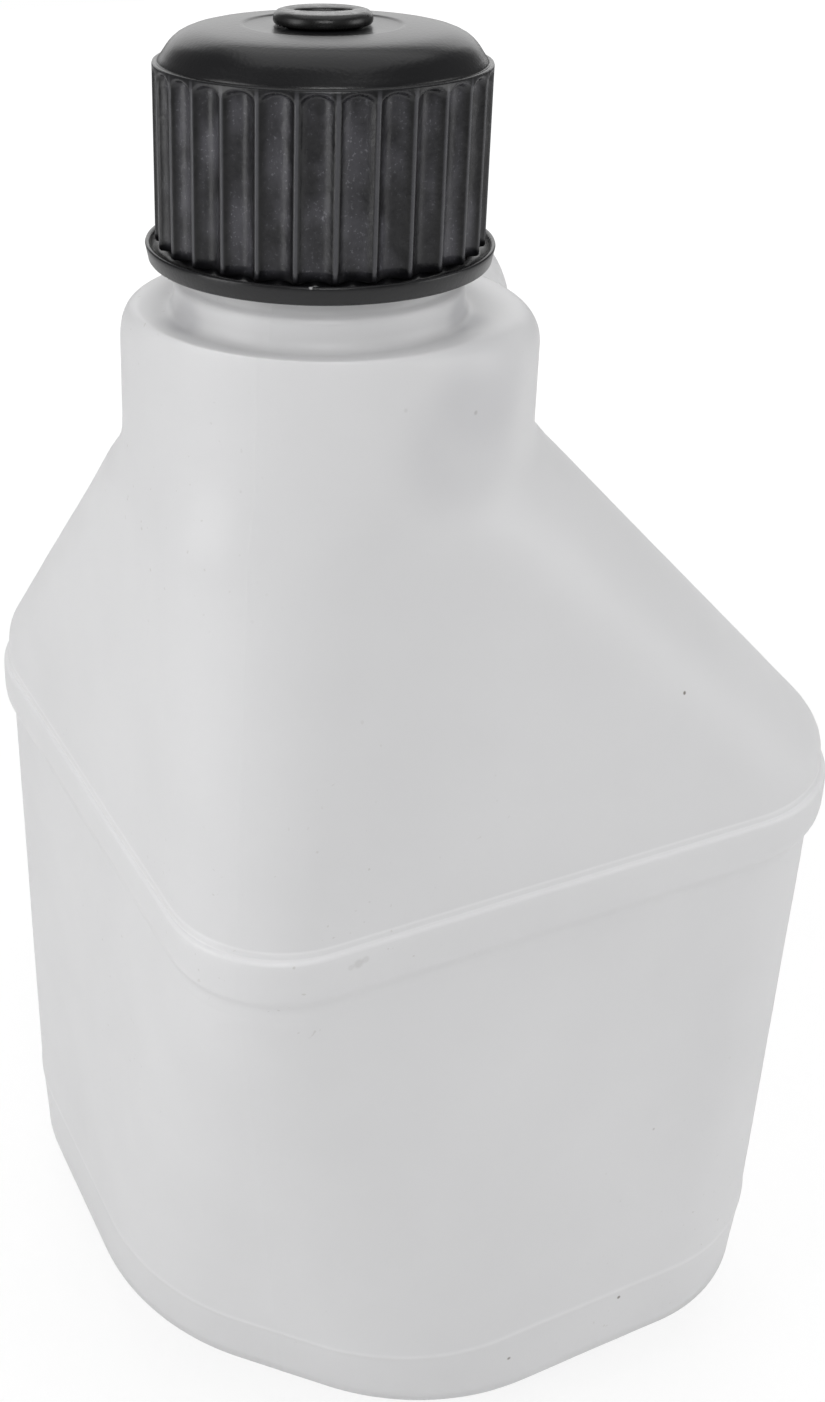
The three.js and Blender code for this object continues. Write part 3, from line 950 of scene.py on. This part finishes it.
def seeing_rays(nodes, links):
    """The ray lookup, and 1 for the rays that see the background as white."""
    rays = nodes.new("ShaderNodeLightPath")
    seen = math_node(
        nodes, links, "MAXIMUM", rays.outputs["Is Camera Ray"], rays.outputs["Is Transmission Ray"]
    )
    return rays, seen


def floor():
    size = 3.0
    mesh = bpy.data.meshes.new("floor")
    mesh.from_pydata(
        [(-size, -size, 0), (size, -size, 0), (size, size, 0), (-size, size, 0)], [], [(0, 1, 2, 3)]
    )
    ground = bpy.data.objects.new("floor", mesh)
    bpy.context.scene.collection.objects.link(ground)
    ground.location.z = -0.0004
    made, nodes, links, shader = material("floor_paper")
    grain = texture(nodes, links, 30, 2)
    color = ramp(nodes, links, grain.outputs[0], [(0.3, 0.86), (0.7, 0.88)])
    links.new(color, shader.inputs["Base Color"])
    shader.inputs["Roughness"].default_value = 0.9
    shader.inputs["Specular IOR Level"].default_value = 0.1
    glow = nodes.new("ShaderNodeEmission")
    glow.inputs["Color"].default_value = (1, 1, 1, 1)
    glow.inputs["Strength"].default_value = 1.09
    share = nodes.new("ShaderNodeMixShader")
    rays, seen = seeing_rays(nodes, links)
    where = nodes.new("ShaderNodeTexCoord")
    away = nodes.new("ShaderNodeVectorMath")
    away.operation = "LENGTH"
    links.new(where.outputs["Object"], away.inputs[0])
    spread = nodes.new("ShaderNodeMapRange")
    spread.interpolation_type = "SMOOTHSTEP"
    spread.inputs["From Min"].default_value = 0.25
    spread.inputs["From Max"].default_value = 1.1
    spread.inputs["To Min"].default_value = 0.72
    spread.inputs["To Max"].default_value = 1.0
    links.new(away.outputs["Value"], spread.inputs["Value"])
    part = math_node(nodes, links, "MULTIPLY", seen, spread.outputs[0])
    links.new(part, share.inputs[0])
    links.new(shader.outputs[0], share.inputs[1])
    links.new(glow.outputs[0], share.inputs[2])
    links.new(share.outputs[0], nodes["Material Output"].inputs["Surface"])
    mesh.materials.append(made)


def world():
    room = bpy.data.worlds.new("studio")
    room.use_nodes = True
    nodes = room.node_tree.nodes
    links = room.node_tree.links
    back = nodes["Background"]
    back.inputs["Color"].default_value = (1, 1, 1, 1)
    rays, seen = seeing_rays(nodes, links)
    dimmer = WORLD_MIRRORED - WORLD_DIFFUSE
    mirrored = math_node(nodes, links, "MULTIPLY", rays.outputs["Is Glossy Ray"], dimmer)
    unseen = math_node(nodes, links, "ADD", mirrored, WORLD_DIFFUSE)
    bright = math_node(nodes, links, "MAXIMUM", seen, unseen)
    links.new(bright, back.inputs["Strength"])
    bpy.context.scene.world = room


def area_light(name, at, target, size, power):
    lamp = bpy.data.lights.new(name, "AREA")
    lamp.shape = "RECTANGLE"
    lamp.size, lamp.size_y = size
    lamp.energy = power
    holder = bpy.data.objects.new(name, lamp)
    holder.location = at
    holder.rotation_euler = (Vector(target) - Vector(at)).to_track_quat("-Z", "Y").to_euler()
    bpy.context.scene.collection.objects.link(holder)


def camera():
    lens = bpy.data.cameras.new("camera")
    lens.sensor_fit = "VERTICAL"
    lens.sensor_height = 36.0
    lens.lens = FOCAL_PIXELS * lens.sensor_height / PHOTO_HEIGHT
    lens.shift_x = (PHOTO_WIDTH / 2 - CENTRE_X) / PHOTO_HEIGHT
    lens.shift_y = (CENTRE_Y - PHOTO_HEIGHT / 2) / PHOTO_HEIGHT
    holder = bpy.data.objects.new("camera", lens)
    holder.location = CAMERA_AT
    holder.rotation_euler = Euler(
        (math.radians(90 - CAMERA_PITCH), 0, math.radians(CAMERA_HEADING - 90))
    )
    bpy.context.scene.collection.objects.link(holder)
    bpy.context.scene.camera = holder


camera()
floor()
world()
for lamp in LAMPS:
    area_light(*lamp)
bpy.context.scene.view_settings.view_transform = "Standard"

dress(jug_shell(), jug_material(), "jug", "jug_plastic", "jug_body")
dress(cap_shell(), cap_material(), "cap", "cap_plastic", "cap")
dress(plug_shell(), rubber_material("plug_rubber", 0.3), "plug", "plug_rubber", "vent_plug")
gasket = frame["nodes"]["cap_gasket"]
gasket.data.materials.clear()
gasket.data.materials.append(rubber_material("gasket_rubber", 0.7))
